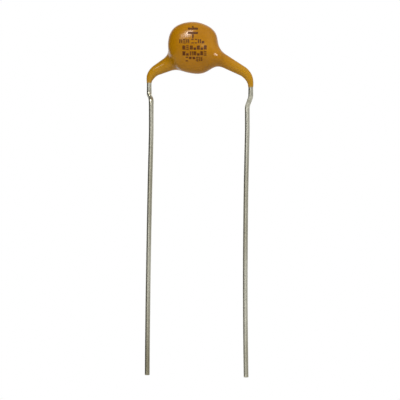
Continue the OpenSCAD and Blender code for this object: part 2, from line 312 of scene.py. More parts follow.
def arm_tree():
    """Distance to one arm of coating: a run up the wire, round its shoulder and up the slope."""
    tree, given, result = new_tree(
        "Arm Distance",
        {
            "Point": "Vector", "Side": 1.0, "Wire Radius": WIRE_R, "Wire Y": WIRE_Y, "Low X": 6.0,
            "Low Z": 3.0, "Shoulder Radius": 2.0, "Slope": 0.5, "Slope Length": 6.0, "Run": 0.2,
            "Edge Coat": EDGE_COAT, "Coat": 0.1, "Widening": 0.1, "Feather": 0.5, "Edge Wander": 0.2,
        },
        {"Distance": "Float", "Past Edge": "Float"},
    )
    x, y, z = split(tree, given["Point"])
    side, low_x, low_z, run = given["Side"], given["Low X"], given["Low Z"], given["Run"]
    bend, slope = given["Shoulder Radius"], given["Slope"]
    turn = math.pi / 2 - slope
    out = x * side
    centre_x = low_x - bend
    start_x, start_z = centre_x + bend * turn.cosine(), low_z + bend * turn.sine()
    drop = low_z - z
    # Below the coating's edge the skin goes on for a little inside the wire, and ends there
    stop = run + HIDDEN_RUN
    from_run = longest(out - low_x, drop.least(0) + (drop - stop).most(0))
    up_x, up_z = -slope.cosine(), slope.sine()
    along_slope = ((out - start_x) * up_x + (z - start_z) * up_z).most(0).least(given["Slope Length"])
    from_slope = longest(out - start_x - along_slope * up_x, z - start_z - along_slope * up_z)
    spoke_x, spoke_z = out - centre_x, z - low_z
    angle = spoke_z.angle_over(spoke_x)
    in_turn = (-angle).below(0) * angle.below(turn)
    from_bend = choose(in_turn, (longest(spoke_x, spoke_z) - bend).size(), from_run + from_slope)
    nearest = from_run.least(from_slope).least(from_bend)
    on_bend = 1 - nearest.below(from_bend)
    on_run = 1 - nearest.below(from_run)
    elsewhere = choose(on_run, -(drop.most(0)), bend * turn + along_slope)
    along = run + choose(on_bend, bend * angle, elsewhere)
    # The feathered edge wanders a little round the wire
    past = along + (noise(tree, given["Point"], 2.2, 2.0, 0.6) - 0.5) * given["Edge Wander"]
    on = past.most(0)
    thickening = 1 - (-((on / given["Feather"]).power(2))).exp()
    grown = (given["Coat"] + given["Widening"].tangent() * on) * thickening
    film = given["Edge Coat"] * (1 - (on / -EDGE_RISE).exp())
    sunk = (1 - (past.least(0) / SINK_RUN).exp()) * SINK
    radius = given["Wire Radius"] + film + grown - sunk
    feed(tree, longest(nearest, y + side * given["Wire Y"]) - radius, result["Distance"])
    feed(tree, past, result["Past Edge"])
    return tree


def disc_tree():
    """Distance to the coated disc: a domed plate whose outline swells where coating gathered."""
    inputs = {"Point": "Vector", "Disc X": DISC_X, "Disc Z": DISC_Z} | DISC_SIZES
    tree, given, result = new_tree("Disc Distance", inputs, {"Distance": "Float"})
    x, y, z = split(tree, given["Point"])
    x, z = x - given["Disc X"], z - given["Disc Z"]
    angle = z.angle_over(x)
    outline = given["Body Radius"]
    # The gathers fade towards the middle, where the face is one smooth dome
    near_rim = (longest(x, z) / outline).power(2).least(1)
    for i, (place, _, reach) in enumerate(GATHERS):
        off = angle - math.radians(place)
        off = off - (off / math.tau).nearest_whole() * math.tau
        swell = (-((off / math.radians(reach)).power(2))).exp()
        outline = outline + given[f"Gather {i + 1}"] * swell * near_rim
    dome = given["Dome"]
    fill = (longest(x, z) / outline).power(dome) + (y.size() / given["Half Depth"]).power(dome)
    # Both least sizes keep the very middle, where the sums would divide by nothing, out of them
    share = 1 - fill.most(1e-7).power(-1 / dome)
    feed(tree, longest(x, y, z).most(0.01) * share, result["Distance"])
    return tree


def lead_figures(side):
    """Where one lead's shoulder starts, how steep its kink runs and how far its slope goes."""
    lead = LEADS[side]
    angle, slope = math.radians(lead["angle"]), math.radians(lead["slope"])
    step = math.hypot(lead["shift"], WIRE_Y)
    straight = (step - 2 * lead["bend"] * (1 - math.cos(angle))) / math.sin(angle)
    height = 2 * lead["bend"] * math.sin(angle) + straight * math.cos(angle)
    low_x = PITCH / 2 + lead["shift"]
    low_z = lead["foot"] + height + lead["riser"]
    turn = math.pi / 2 - slope
    start_x = low_x - lead["shoulder"] * (1 - math.cos(turn))
    start_z = low_z + lead["shoulder"] * math.sin(turn)
    to_disc = (start_x - side * DISC_X) * math.cos(slope) + (DISC_Z - start_z) * math.sin(slope)
    return {
        "straight": straight, "heading": math.degrees(math.atan2(-side * WIRE_Y, side * lead["shift"])),
        "low_x": low_x, "low_z": low_z, "turn": math.degrees(turn), "slope": slope,
        "start_x": start_x, "start_z": start_z, "slope_length": to_disc - END_GAP,
    }


def skin_tree():
    """Distance to the whole wet skin: the disc and both arms, with rounded corners between."""
    arm, disc = arm_tree(), disc_tree()
    inputs = {"Point": "Vector", "Edge Coat": EDGE_COAT, "Edge Wander": 0.2} | DISC_SIZES
    for side in (LEFT, RIGHT):
        inputs[f"{NAMES[side]} Coat"] = ARMS[side]["coat"]
        inputs[f"{NAMES[side]} Blend"] = ARMS[side]["blend"]
    tree, given, result = new_tree("Skin Distance", inputs, {"Distance": "Float", "Past Edge": "Float"})
    x, y, z = split(tree, given["Point"])

    def rounded(a, b, width):
        """Two distances joined, with a rounded corner of this width between them."""
        overlap = (width - (a - b).size()).most(0)
        return a.least(b) - overlap * overlap / (width * 4)

    body = group(tree, disc, Point=given["Point"], **{name: given[name] for name in DISC_SIZES})
    whole = Term(tree, body.outputs["Distance"])
    distances, past = [], []
    for side in (LEFT, RIGHT):
        figures, coat = lead_figures(side), ARMS[side]
        node = group(
            tree, arm, Point=given["Point"], Side=side, Low_X=figures["low_x"], Low_Z=figures["low_z"],
            Shoulder_Radius=LEADS[side]["shoulder"], Slope=figures["slope"],
            Slope_Length=figures["slope_length"] - coat["short"], Run=coat["run"],
            Widening=math.radians(coat["widening"]), Feather=coat["feather"],
            Coat=given[f"{NAMES[side]} Coat"] - given["Edge Coat"],
            Edge_Coat=given["Edge Coat"], Edge_Wander=given["Edge Wander"],
        )
        distances.append(Term(tree, node.outputs["Distance"]))
        past.append(Term(tree, node.outputs["Past Edge"]))
        whole = rounded(whole, distances[-1], given[f"{NAMES[side]} Blend"])
        out = figures["start_x"] - coat["knuckle"] * math.cos(figures["slope"])
        up = figures["start_z"] + coat["knuckle"] * math.sin(figures["slope"])
        knuckle = longest(x - side * out, y + side * KNUCKLE_DEPTH, z - up) - KNUCKLE_R
        whole = rounded(whole, knuckle, KNUCKLE_BLEND)
    feed(tree, whole, result["Distance"])
    feed(tree, choose(distances[0].below(distances[1]), past[0], past[1]), result["Past Edge"])
    return tree


def coating_tree():
    """The coating's mesh: the skin's distance sampled in a block, meshed and settled on the skin."""
    skin = skin_tree()
    sizes = {
        item.name: item.default_value for item in skin.interface.items_tree
        if item.in_out == "INPUT" and item.name != "Point"
    }
    inputs = sizes | {
        "Block Low": "Vector", "Block High": "Vector", "Mesh Size": 0.07, "Settling Steps": 4,
        "Waviness": 0.003, "Wave Size": 1.8, "Inset": 0.012, "Scale": MM, "Material": "Material",
    }
    tree, given, result = new_tree("Dipped Coating", inputs, {"Geometry": "Geometry"})

    def skin_at(point, told="Distance"):
        node = group(tree, skin, Point=point, **{name: given[name] for name in sizes})
        return Term(tree, node.outputs[told])

    position = geo(tree, "InputPosition")
    low, high = split(tree, given["Block Low"]), split(tree, given["Block High"])
    counts = [(b - a) / given["Mesh Size"] for a, b in zip(low, high)]
    block = geo(
        tree, "VolumeCube", Density=0.5 - skin_at(position), Background=-1.0,
        Min=given["Block Low"], Max=given["Block High"],
        Resolution_X=counts[0], Resolution_Y=counts[1], Resolution_Z=counts[2],
    )

    # Each step moves every point straight down the slope of the distance, on to the skin
    start = tree.nodes.new("GeometryNodeRepeatInput")
    end = tree.nodes.new("GeometryNodeRepeatOutput")
    start.pair_with_output(end)
    feed(tree, given["Settling Steps"], start.inputs["Iterations"])
    feed(tree, geo(tree, "VolumeToMesh", Volume=block, Threshold=0.5), start.inputs["Geometry"])
    step = 0.002
    here = skin_at(position)
    slopes = []
    for axis in ((step, 0, 0), (0, step, 0), (0, 0, step)):
        slopes.append((skin_at(vector_sum(tree, "ADD", position, axis)) - here) / step)
    # Where the distance is nearly flat, a least steepness keeps the step short
    steep = (slopes[0] * slopes[0] + slopes[1] * slopes[1] + slopes[2] * slopes[2]).most(0.05)
    back = -(here / steep)
    offset = join(tree, *(slope * back for slope in slopes))
    moved = geo(tree, "SetPosition", Geometry=start.outputs["Geometry"], Offset=offset)
    feed(tree, moved, end.inputs["Geometry"])

    # How far each point lies past the feathered edge is kept for the material
    kept = geo(
        tree, "StoreNamedAttribute", {"data_type": "FLOAT", "domain": "POINT"}, Name="past_edge",
        Geometry=end.outputs["Geometry"], Value=skin_at(position, "Past Edge"),
    )
    # The wet coating set a little unevenly
    waves = noise(tree, position, 1 / given["Wave Size"], 1.0, 0.4)
    sink = (waves - 1) * given["Waviness"] - given["Inset"]
    offset = join(tree, *(part * sink for part in split(tree, geo(tree, "InputNormal"))))
    return end_tree(tree, geo(tree, "SetPosition", Geometry=kept, Offset=offset), given, result)


# The leads' routes


def bend_points(place, radius, turn, heading, spacing=0.08):
    """Points along one bend that starts upwards in its frame, and the frame at its end."""
    turn, heading = math.radians(turn), math.radians(heading)
    count = max(4, round(radius * turn / spacing))
    side_on = place @ Matrix.Rotation(heading, 4, "Z")

    def after(a):
        return Vector((radius * (1 - math.cos(a)), 0, radius * math.sin(a)))

    end = side_on @ Matrix.Translation(after(turn)) @ Matrix.Rotation(turn, 4, "Y")
    points = [side_on @ after(turn * i / count) for i in range(1, count + 1)]
    return points, end @ Matrix.Rotation(-heading, 4, "Z")


def straight_points(place, length, spacing=0.12):
    count = max(1, round(length / spacing))
    points = [place @ Vector((0, 0, length * i / count)) for i in range(1, count + 1)]
    return points, place @ Matrix.Translation((0, 0, length))


def lead_route(side):
    """Points from the tip to the wire's end on the disc, in millimetres, and where its kink is."""
    lead, figures = LEADS[side], lead_figures(side)
    foot = Matrix.Translation((side * PITCH / 2, 0, 0))
    down = foot @ Matrix.Translation((0, 0, -STRAIGHT)) @ Matrix.Rotation(math.pi, 4, "X")
    bow_length = lead["length"] - STRAIGHT - LEAN_R * math.radians(lead["lean"]) - TIP_BEVEL
    lower, place = bend_points(down, LEAN_R, lead["lean"], 180)
    bow, place = bend_points(place, bow_length / math.radians(lead["bow"]), lead["bow"], 0, 0.12)
    tip = [place @ Vector((0, 0, TIP_BEVEL))]
    route = (lower + bow + tip)[::-1]
    rise, place = straight_points(down @ Matrix.Rotation(math.pi, 4, "X"), STRAIGHT + lead["foot"])
    route += [down.to_translation()] + rise
    # Where each step starts; the first three make the kink
    starts = []
    bend, angle, heading = lead["bend"], lead["angle"], figures["heading"]
    for step, *sizes in (
        (bend_points, bend, angle, heading), (straight_points, figures["straight"]),
        (bend_points, bend, angle, heading + 180), (straight_points, lead["riser"]),
        (bend_points, lead["shoulder"], figures["turn"], 0 if side == LEFT else 180),
        (straight_points, figures["slope_length"]),
    ):
        starts.append(len(route))
        points, place = step(place, *sizes)
        route += points
    return route, (starts[0], starts[3])


def lead_line(side, press_spread):
    """The lead's route as a line of edges, which carries the bevel and where the dies pressed it."""
    route, kink = lead_route(side)
    mesh = bpy.data.meshes.new("route")
    mesh.from_pydata(route, [(i, i + 1) for i in range(len(route) - 1)], [])
    across = Vector((LEADS[side]["shift"] * side, -side * WIRE_Y, 0)).normalized()
    thin, press, axes = [], [], []
    for i, point in enumerate(route):
        thin.append(1 - TIP_BEVEL / WIRE_R if i == 0 else 1)
        off = min((point - route[k]).length for k in range(*kink))
        press.append(math.exp(-((off / press_spread) ** 2)))
        ahead = (route[min(i + 1, len(route) - 1)] - route[max(i - 1, 0)]).normalized()
        axis = across - ahead * across.dot(ahead)
        # Where the wire runs along the dies' push there is nothing to press
        axes += list(axis.normalized() if axis.length > 0.05 else Vector((0, 1, 0)))
    for name, kind, key, values in (
        ("thin", "FLOAT", "value", thin), ("press", "FLOAT", "value", press),
        ("press_axis", "FLOAT_VECTOR", "vector", axes),
    ):
        mesh.attributes.new(name, kind, "POINT").data.foreach_set(key, values)
    return mesh


def lead_tree():
    """A round wire swept along its route, pressed a little flat where the dies kinked it."""
    tree, given, result = new_tree(
        "Swept Lead",
        {
            "Geometry": "Geometry", "Wire Radius": WIRE_R, "Rounds": 32, "Press": 0.1,
            "Dent Depth": 0.006, "Dent Size": 0.8, "Seed": 1, "Seed Shift": 7.3, "Scale": MM,
            "Material": "Material",
        },
        {"Geometry": "Geometry"},
    )

    def told(name, kind):
        return geo(tree, "InputNamedAttribute", {"data_type": kind}, Name=name)

    def vectors(operation, a, b):
        return vector_sum(tree, operation, a, b)

    position = geo(tree, "InputPosition")
    middle = geo(
        tree, "StoreNamedAttribute", {"data_type": "FLOAT_VECTOR", "domain": "POINT"}, Name="middle",
        Geometry=geo(tree, "MeshToCurve", Mesh=given["Geometry"]), Value=position,
    )
    ring = geo(tree, "CurvePrimitiveCircle", Resolution=given["Rounds"], Radius=given["Wire Radius"])
    thin = told("thin", "FLOAT")
    tube = geo(tree, "CurveToMesh", Curve=middle, Profile_Curve=ring, Scale=thin, Fill_Caps=True)
    arm = vectors("SUBTRACT", position, told("middle", "FLOAT_VECTOR"))
    axis = told("press_axis", "FLOAT_VECTOR")
    across = vectors("SCALE", axis, vectors("DOT_PRODUCT", arm, axis))
    sideways = vectors("SUBTRACT", arm, across)
    press = Term(tree, told("press", "FLOAT")) * given["Press"]
    squeezed = vectors(
        "ADD", vectors("SCALE", across, -press), vectors("SCALE", sideways, press * SIDE_SWELL)
    )
    # Each seed reads its dents from another place
    shifted = vectors("ADD", position, join(tree, given["Seed"] * given["Seed Shift"], 0, 0))
    dents = noise(tree, shifted, 1 / given["Dent Size"], 1.0)
    sink = (dents - 1) * given["Dent Depth"]
    offset = vectors("ADD", squeezed, vectors("SCALE", geo(tree, "InputNormal"), sink))
    return end_tree(tree, geo(tree, "SetPosition", Geometry=tube, Offset=offset), given, result)


# The print


def marking_tree():
    """Rows of small plain shapes and a capacitor's plain sign, printed on the coating's face."""
    tree, given, result = new_tree(
        "Printed Marking",
        {
            "Geometry": "Geometry", "Coating": "Object", "Shape Height": 0.53, "Shape Width": 0.32,
            "Stroke": 0.15, "Sign Width": 1.3, "Sign Stroke": 0.3, "Sign Place": "Vector",
            "Ink Depth": 0.006, "Seed": 5, "Ray Start": -10.0, "Ray Length": 12.0, "Scale": MM,
            "Material": "Material",
        },
        {"Geometry": "Geometry"},
    )
    half_w, half_h = given["Shape Width"] / 2, given["Shape Height"] / 2

    def line(x1, z1, x2, z2):
        return geo(tree, "CurvePrimitiveLine", Start=join(tree, x1, 0, z1), End=join(tree, x2, 0, z2))

    def stroke(x1, z1, x2, z2):
        """A straight stroke between two places, given in halves of the shape's width and height."""
        return line(half_w * x1, half_h * z1, half_w * x2, half_h * z2)

    def together(*parts):
        node = tree.nodes.new("GeometryNodeJoinGeometry")
        for part in parts:
            tree.links.new(part, node.inputs[0])
        return node.outputs[0]

    dashes, upper, lower = (
        [stroke(-1, place, 1, place) for place in places]
        for places in ((-0.85, 0, 0.85), (0.2, 0.5, 0.85), (-0.2, -0.5, -0.85))
    )
    bars = [stroke(place, -1, place, 1) for place in (-0.75, -0.25, 0.25, 0.75)]
    shapes = [
        together(*dashes), together(*bars), together(bars[0], bars[3]), together(*upper),
        together(*lower), together(upper[2], lower[2]), together(bars[0], bars[1], bars[3]),
    ]
    choices = together(*(geo(tree, "GeometryToInstance", Geometry=shape) for shape in shapes))
    pick = add(tree, "FunctionNodeRandomValue", {"data_type": "INT"})
    limits = {"Min": 0, "Max": len(shapes) - 1, "Seed": given["Seed"]}
    for socket in pick.inputs:
        if socket.enabled and socket.name in limits:
            feed(tree, limits[socket.name], socket)
    picked = next(output for output in pick.outputs if output.enabled)
    rows = geo(
        tree, "InstanceOnPoints", Points=given["Geometry"], Instance=choices, Pick_Instance=True,
        Instance_Index=picked,
    )

    def drawn(curve, width):
        fine = geo(tree, "ResampleCurve", {"mode": "LENGTH"}, Curve=curve, Length=0.03)
        nib = geo(tree, "CurvePrimitiveCircle", Resolution=10, Radius=width / 2)
        return geo(tree, "CurveToMesh", Curve=fine, Profile_Curve=nib, Fill_Caps=True)

    # The sign of a capacitor: two plates with a lead to each
    width, gap = given["Sign Width"] / 2, given["Sign Stroke"] * 0.95
    place = split(tree, given["Sign Place"])

    def sign_stroke(x1, z1, x2, z2):
        return line(place[0] + x1, place[2] + z1, place[0] + x2, place[2] + z2)

    plates = together(sign_stroke(-width, gap, width, gap), sign_stroke(-width, -gap, width, -gap))
    legs = together(
        sign_stroke(0, gap, 0, gap + width * 0.55), sign_stroke(0, -gap, 0, -gap - width * 1.1)
    )
    ink = together(
        drawn(geo(tree, "RealizeInstances", Geometry=rows), given["Stroke"]),
        drawn(plates, given["Sign Stroke"]), drawn(legs, given["Sign Stroke"] * 0.6),
    )

    # Each point is carried back on to the coating, so the ink follows the domed face
    coating = add(tree, "GeometryNodeObjectInfo", Object=given["Coating"])
    in_mm = 1 / given["Scale"]
    scale = join(tree, in_mm, in_mm, in_mm)
    face = geo(tree, "Transform", Geometry=coating.outputs["Geometry"], Scale=scale)
    x, y, z = split(tree, geo(tree, "InputPosition"))
    ray = add(
        tree, "GeometryNodeRaycast", Target_Geometry=face, Ray_Direction=(0, 1, 0),
        Source_Position=join(tree, x, given["Ray Start"], z), Ray_Length=given["Ray Length"],
    )
    rise = (y * -2 / given["Stroke"]).least(1).most(-1) * given["Ink Depth"]
    hit, normal = split(tree, ray.outputs["Hit Position"]), split(tree, ray.outputs["Hit Normal"])
    lifted = join(tree, *(a + b * rise for a, b in zip(hit, normal)))
    laid = geo(tree, "SetPosition", Geometry=ink, Selection=ray.outputs["Is Hit"], Position=lifted)
    return end_tree(tree, laid, given, result)


# Materials


def new_material(name, rough=0.5, metallic=0.0):
    material = bpy.data.materials.new(name)
    material.use_nodes = True
    tree = material.node_tree
    tree.nodes.clear()
    shader = add(tree, "ShaderNodeBsdfPrincipled", Roughness=rough, Metallic=metallic)
    add(tree, "ShaderNodeOutputMaterial", Surface=shader.outputs[0])
    return material, tree, shader


def object_point(tree, scale=(1, 1, 1)):
    place = tree.nodes.new("ShaderNodeTexCoord")
    return add(tree, "ShaderNodeMapping", Vector=place.outputs["Object"], Scale=scale).outputs[0]


def spread(tree, value, low, high, to_low=0.0, to_high=1.0):
    """Carries a value from one range to another, and stops at its ends."""
    node = add(tree, "ShaderNodeMapRange", {"interpolation_type": "SMOOTHSTEP"})
    for socket, number in zip(node.inputs, (value, low, high, to_low, to_high)):
        feed(tree, number, socket)
    return Term(tree, node.outputs[0])


def mix(tree, share, a, b):
    node = add(tree, "ShaderNodeMix", {"data_type": "RGBA"})
    feed(tree, share, node.inputs[0])
    for value, socket in ((a, node.inputs[6]), (b, node.inputs[7])):
        feed(tree, value if isinstance(value, bpy.types.NodeSocket) else (*value[:3], 1), socket)
    return node.outputs[2]


def bump(tree, heights, shader):
    """Stacks bumps: each is a height, a strength and the real depth in metres."""
    before = {}
    for height, strength, depth in heights:
        node = add(tree, "ShaderNodeBump", Height=height, Strength=strength, Distance=depth, **before)
        before = {"Normal": node.outputs[0]}
    fed(tree, shader, **before)


def epoxy_material(settings):
    """Glossy ochre epoxy, mottled, and thin enough to show the wire at its feathered edge."""
    material, tree, shader = new_material("Ochre Epoxy")
    point = object_point(tree)
    cloud = spread(tree, noise(tree, point, 420, 4), 0.3, 0.7)
    speck = spread(tree, noise(tree, point, 5200, 2), 0.35, 0.65)
    clouded = mix(tree, cloud, settings.deep_colour, settings.colour)
    grain = mix(tree, speck * 0.12, clouded, settings.speck_colour)
    past = add(tree, "ShaderNodeAttribute", {"attribute_name": "past_edge"}).outputs["Fac"]
    grain = mix(tree, spread(tree, past, 1.5, 6.5), settings.arm_colour, grain)
    thin = 1 - spread(tree, past, 0.02, 0.4)
    base = mix(tree, thin * 0.55, grain, settings.thin_colour)
    low, high = settings.gloss - 0.03, settings.gloss + 0.06
    rough = spread(tree, noise(tree, point, 1400, 3), 0.3, 0.7, low, high)
    fed(tree, shader, Base_Color=base, Roughness=rough, IOR=1.52, Specular_IOR_Level=0.25)
    bump(tree, [(noise(tree, point, 600, 1), 0.12, 0.00002), (speck, 0.05, 0.000002)], shader)
    return material


def wire_material(settings):
    """Tinned wire: bright along the drawn lines, with duller patches and small pits."""
    material, tree, shader = new_material("Tinned Wire", metallic=1.0)
    point = object_point(tree)
    along = object_point(tree, scale=(1, 1, 0.06))
    streak = noise(tree, along, 4500, 2)
    patch = spread(tree, noise(tree, along, 1500, 2), 0.42, 0.68)
    pits = spread(tree, noise(tree, point, 3000, 2), 0.6, 0.75)
    tin = mix(tree, patch, settings.colour, settings.dull_colour)
    # Both leads turn darker towards their tips, lower down and the left one the most
    x, y, z = split(tree, point)
    darkened = spread(tree, z + x * 0.8, -0.026, -0.04) * 0.9
    tin = mix(tree, darkened, tin, settings.tip_colour)
    drawn = mix(tree, spread(tree, streak, 0.35, 0.7) * 0.35, tin, settings.dull_colour)
    rough = settings.gloss + patch * 0.1 + pits * 0.1 + streak * 0.06
    base = mix(tree, pits * 0.35, drawn, settings.pit_colour)
    fed(tree, shader, Base_Color=base, Roughness=rough)
    bump(tree, [(patch, 0.1, 0.00001), (streak, 0.1, 0.000003), (-pits, 0.1, 0.000003)], shader)
    return material


def ink_material(settings):
    """Reddish brown ink that covers the epoxy unevenly."""
    material, tree, shader = new_material("Brown Ink")
    point = object_point(tree)
    worn = spread(tree, noise(tree, point, 5200, 4, 0.6), 0.45, 0.75)
    base = mix(tree, worn * 0.4, settings.colour, settings.worn_colour)
    fed(tree, shader, Base_Color=base, Specular_IOR_Level=0.15)
    bump(tree, [(noise(tree, point, 9000, 3), 0.3, 0.000003)], shader)
    return material


def grained_material(name, colour, dark, scale, rough, metallic=0.0):
    """A plain surface with fine grain, for the pieces inside the coating."""
    material, tree, shader = new_material(name, rough, metallic)
    point = object_point(tree)
    grain = noise(tree, point, scale, 4, 0.6)
    cloud = noise(tree, point, scale / 7, 3)
    share = spread(tree, grain * 0.6 + cloud * 0.4, 0.35, 0.65)
    fed(tree, shader, Base_Color=mix(tree, share, dark, colour))
    bump(tree, [(grain, 0.5, 0.000005)], shader)
    return material


def shown_white(tree, y, low, high):
    """1 for rays from the camera or through glass, and for reflections of what lies far behind."""
    path = tree.nodes.new("ShaderNodeLightPath").outputs
    behind = spread(tree, y, low, high) * path["Is Glossy Ray"]
    return behind.most(path["Is Camera Ray"]).most(path["Is Transmission Ray"])


# What a user may change


def setting(kind, name, description, default, **limits):
    return kind(name=name, description=description, default=default, **limits)


def length(name, description, default, low, high):
    units = {"subtype": "DISTANCE", "unit": "LENGTH", "precision": 6}
    return setting(FloatProperty, name, description, default, min=low, max=high, **units)


def colour(*told):
    return setting(FloatVectorProperty, *told, size=3, min=0, max=1, subtype="COLOR")


def share(*told):
    return setting(FloatProperty, *told, min=0, max=1, subtype="FACTOR")


def power(*told):
    return setting(FloatProperty, *told, min=0, unit="POWER")


def tree_values(settings):
    """Settings by their shown names, which are those of the trees' inputs, in millimetres."""
    values = {}
    for key in settings.__annotations__:
        shown, value = settings.bl_rna.properties[key], getattr(settings, key)
        values[shown.name] = value / MM if shown.unit == "LENGTH" else value
    return values


class CoatingSettings(bpy.types.PropertyGroup):
    body_radius: length("Body Radius", "Radius where nothing gathered", 0.00322, 0.0025, 0.006)
    half_depth: length("Half Depth", "Half the disc's thickness at its middle", 0.00242, 0.0015, 0.004)
    dome: setting(FloatProperty, "Dome", "Fullness of its faces, with 2 an ellipse", 2.5, min=2, max=4)
    edge_coat: length("Edge Coat", "Coating at its feathered edge", EDGE_COAT * MM, 0.00001, 0.0001)
    edge_wander: length("Edge Wander", "How far the feathered edge wanders", 0.0002, 0, 0.001)
    waviness: length("Waviness", "How deep the set coating's unevenness goes", 0.000003, 0, 0.0001)
    wave_size: length("Wave Size", "Width of the set coating's unevenness", 0.0018, 0.0005, 0.01)
    mesh_size: length("Mesh Size", "Width of one face of the coating's mesh", 0.00007, 0.00005, 0.0003)
    colour: colour("Ochre", "Colour of the thick coating", (0.49, 0.205, 0.001))
    deep_colour: colour("Deep Ochre", "Colour of its darker clouds", (0.43, 0.172, 0.0005))
    arm_colour: colour("Arms", "Colour of the thinner coating on the arms", (0.52, 0.25, 0.006))
    speck_colour: colour("Specks", "Colour of the fine specks in it", (0.28, 0.10, 0.006))
    thin_colour: colour("Thin Coating", "Colour where the wire shows through", (0.42, 0.27, 0.07))
    gloss: share("Roughness", "Roughness of the coating's surface", 0.2)


class LeadSettings(bpy.types.PropertyGroup):
    wire_radius: length("Wire Radius", "Radius of the tinned wire", WIRE_R * MM, 0.0002, 0.0006)
    rounds: setting(IntProperty, "Rounds", "Faces round the wire", 32, min=8, max=64)
    press: share("Press", "How flat the dies pressed the kinks", 0.1)
    press_spread: length("Press Spread", "How far it runs past each kink", 0.0004, 0.0001, 0.002)
    dent_depth: length("Dent Depth", "Depth of the small dents", 0.000006, 0, 0.00005)
    dent_size: length("Dent Size", "Width of the small dents", 0.0008, 0.0002, 0.005)
    seed: setting(IntProperty, "Seed", "Which set of dents the leads get", 1, min=0)
    colour: colour("Bright Tin", "Colour of the bright tin", (0.87, 0.85, 0.71))
    dull_colour: colour("Dull Tin", "Colour of the duller patches", (0.53, 0.505, 0.385))
    tip_colour: colour("Tips", "Colour of the handled, duller tips", (0.285, 0.252, 0.15))
    pit_colour: colour("Pits", "Colour of the small pits", (0.16, 0.15, 0.11))
    gloss: share("Roughness", "Roughness of the bright tin", 0.24)


class MarkingSettings(bpy.types.PropertyGroup):
    shape_height: length("Shape Height", "Height of each small shape", 0.00053, 0.0002, 0.001)
    shape_width: length("Shape Width", "Width of each small shape", 0.00032, 0.0001, 0.001)
    shape_pitch: length("Shape Pitch", "Distance from one shape to the next", 0.00045, 0.0002, 0.001)
    stroke: length("Stroke", "Width of the strokes", 0.00015, 0.00005, 0.0002)
    sign_width: length("Sign Width", "Width of the capacitor's sign", 0.0013, 0.0005, 0.003)
    sign_stroke: length("Sign Stroke", "Thickness of the sign's plates", 0.0003, 0.0001, 0.0005)
    ink_depth: length("Ink Depth", "How far the ink stands proud", 0.000006, 0.000001, 0.00005)
    seed: setting(IntProperty, "Seed", "Which shapes the rows get", 5, min=0)
    colour: colour("Ink", "Colour of the ink", (0.11, 0.032, 0.0005))
    worn_colour: colour("Worn Ink", "Colour where the ink is thin", (0.22, 0.075, 0.005))


class StageSettings(bpy.types.PropertyGroup):
    floor_colour: colour("Floor", "Colour of the floor", (0.74, 0.74, 0.73))
    floor_depth: length("Floor Depth", "How far the floor lies below the board's plane", 0.06, 0.036, 1)
    view_width: length("View Width", "Width of what the camera sees at the leads", 0.052083, 0.01, 1)
    view_distance: length("View Distance", "How far the camera stands from the leads", 0.3, 0.1, 2)
    key_power: power("Key Light", "Power of the soft key light", 0.61)
    fill_power: power("Fill Light", "Power of the soft fill light", 0.53)
    sheen_power: power("Sheen Light", "Power of the light that only shows in the gloss", 0.19)
    glow_power: power("Glow Light", "Power of the light that only shows in the coating's gloss", 0.45)
    back_power: power("Back Light", "Power of the soft light behind", 0.4)
    strip_power: power("Strip Light", "Power of the strip that lights the wires", 0.25)
    ambient: share("Ambient", "How bright the room is", 0.17)
    window: share("Window", "How much brighter the room is to the right", 0.3)


class CapacitorSettings(bpy.types.PropertyGroup):
    coating: PointerProperty(type=CoatingSettings)
    leads: PointerProperty(type=LeadSettings)
    marking: PointerProperty(type=MarkingSettings)
    stage: PointerProperty(type=StageSettings)


# The pieces


class CAPACITOR_OT_form_coating(bpy.types.Operator):
    """Form the dipped coating over the disc and down both leads"""

    bl_idname = "capacitor.form_coating"
    bl_label = "Form Coating"

    def execute(self, context):
        settings = context.scene.capacitor.coating
        low, high = (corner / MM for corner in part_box("epoxy_coating"))
        room, below = Vector((0.4, 0.4, 0.4)), Vector((0, 0, 0.6))
        values = tree_values(settings) | {
            "Block Low": low - room - below, "Block High": high + room,
            "Material": epoxy_material(settings),
        }
        coating = run_tree(new_piece("dipped_coating"), coating_tree(), values)
        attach(coating, "root")
        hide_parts("epoxy_coating")
        return {"FINISHED"}


class CAPACITOR_OT_sweep_leads(bpy.types.Operator):
    """Sweep both tinned leads along their routes, with pressed kinks and bevelled tips"""

    bl_idname = "capacitor.sweep_leads"
    bl_label = "Sweep Leads"

    def execute(self, context):
        settings = context.scene.capacitor.leads
        tree, material = lead_tree(), wire_material(settings)
        for side, node in ((LEFT, "left_lead"), (RIGHT, "right_lead")):
            line = lead_line(side, settings.press_spread / MM)
            values = tree_values(settings) | {"Seed": settings.seed + side, "Material": material}
            lead = run_tree(new_piece(NAMES[side].lower() + "_tinned_lead", line), tree, values)
            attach(lead, "root")
            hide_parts(node)
        return {"FINISHED"}


class CAPACITOR_OT_print_marking(bpy.types.Operator):
    """Print rows of plain shapes and a capacitor's plain sign on the marked face"""

    bl_idname = "capacitor.print_marking"
    bl_label = "Print Marking"

    def execute(self, context):
        settings = context.scene.capacitor.marking
        coating = bpy.data.objects.get("dipped_coating")
        if coating is None:
            raise RuntimeError("form the coating first")
        pitch = settings.shape_pitch / MM
        places = []
        for height, groups in ROWS:
            for start, count in groups:
                places += [(start + pitch * i, 0, height) for i in range(count)]
        points = bpy.data.meshes.new("places")
        points.from_pydata(places, [], [])
        values = tree_values(settings) | {
            "Coating": coating, "Sign Place": SIGN_PLACE, "Material": ink_material(settings),
        }
        marking = run_tree(new_piece("printed_marking", points), marking_tree(), values)
        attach(marking, "root")
        return {"FINISHED"}


